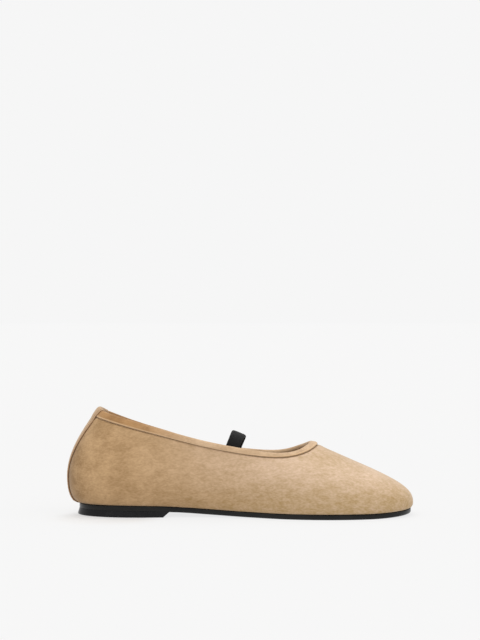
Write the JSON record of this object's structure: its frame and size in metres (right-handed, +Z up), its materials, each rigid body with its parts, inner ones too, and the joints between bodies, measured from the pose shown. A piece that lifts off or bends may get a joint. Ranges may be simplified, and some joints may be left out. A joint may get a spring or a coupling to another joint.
{
  "type": "ballet flat",
  "caption": "Suede ballet flat for a left foot, with a bound collar, heel strip, elastic strap over the instep, thin sole and low heel.",
  "frame": {"origin": "on the floor, under the middle of the shoe's box", "axes": "+X from heel to toe, +Y towards the outer side of the foot, +Z up"},
  "size_m": [0.2502, 0.0874, 0.0779],
  "materials": {
    "outsole": "smooth black, softly glossy",
    "heel_block": "smooth black, softly glossy",
    "upper": "camel suede with a soft nap",
    "insole": "smooth tan lining leather",
    "collar_binding": "camel suede with a soft nap",
    "heel_strip": "camel suede with a soft nap",
    "elastic_strap": "woven black elastic"
  },
  "bodies": {
    "root": {"outsole": "outsole", "heel_block": "heel_block", "upper": "upper", "insole": "insole", "collar_binding": "collar_binding", "heel_strip": "heel_strip", "elastic_strap": "elastic_strap"}
  },
  "joints": []
}
